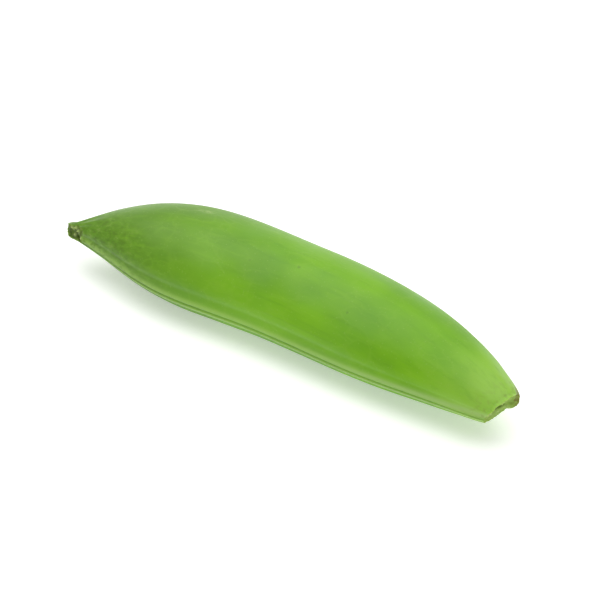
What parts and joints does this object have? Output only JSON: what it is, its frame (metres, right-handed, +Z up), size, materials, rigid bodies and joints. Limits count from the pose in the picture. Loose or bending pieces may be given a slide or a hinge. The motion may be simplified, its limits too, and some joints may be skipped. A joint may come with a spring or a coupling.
{
  "type": "sugar snap pea pod",
  "caption": "Plump bowed green pea pod lying on its flank, with a ribbed bowed seam, a creased straighter seam, faint pea swellings and both ends snapped off.",
  "frame": {"origin": "on the surface the pod rests on, below the middle of its bounding box", "axes": "+X along the chord from the stem end to the tip end, +Y from the straighter seam to the bowed seam, +Z up, out of the flank that faces up"},
  "size_m": [0.0754, 0.0174, 0.0123],
  "materials": {
    "pod_skin": "fresh waxy plant skin, satin, yellow-green with bluish bloom towards the bowed seam"
  },
  "bodies": {
    "root": {"pod": "pod_skin"}
  },
  "joints": []
}
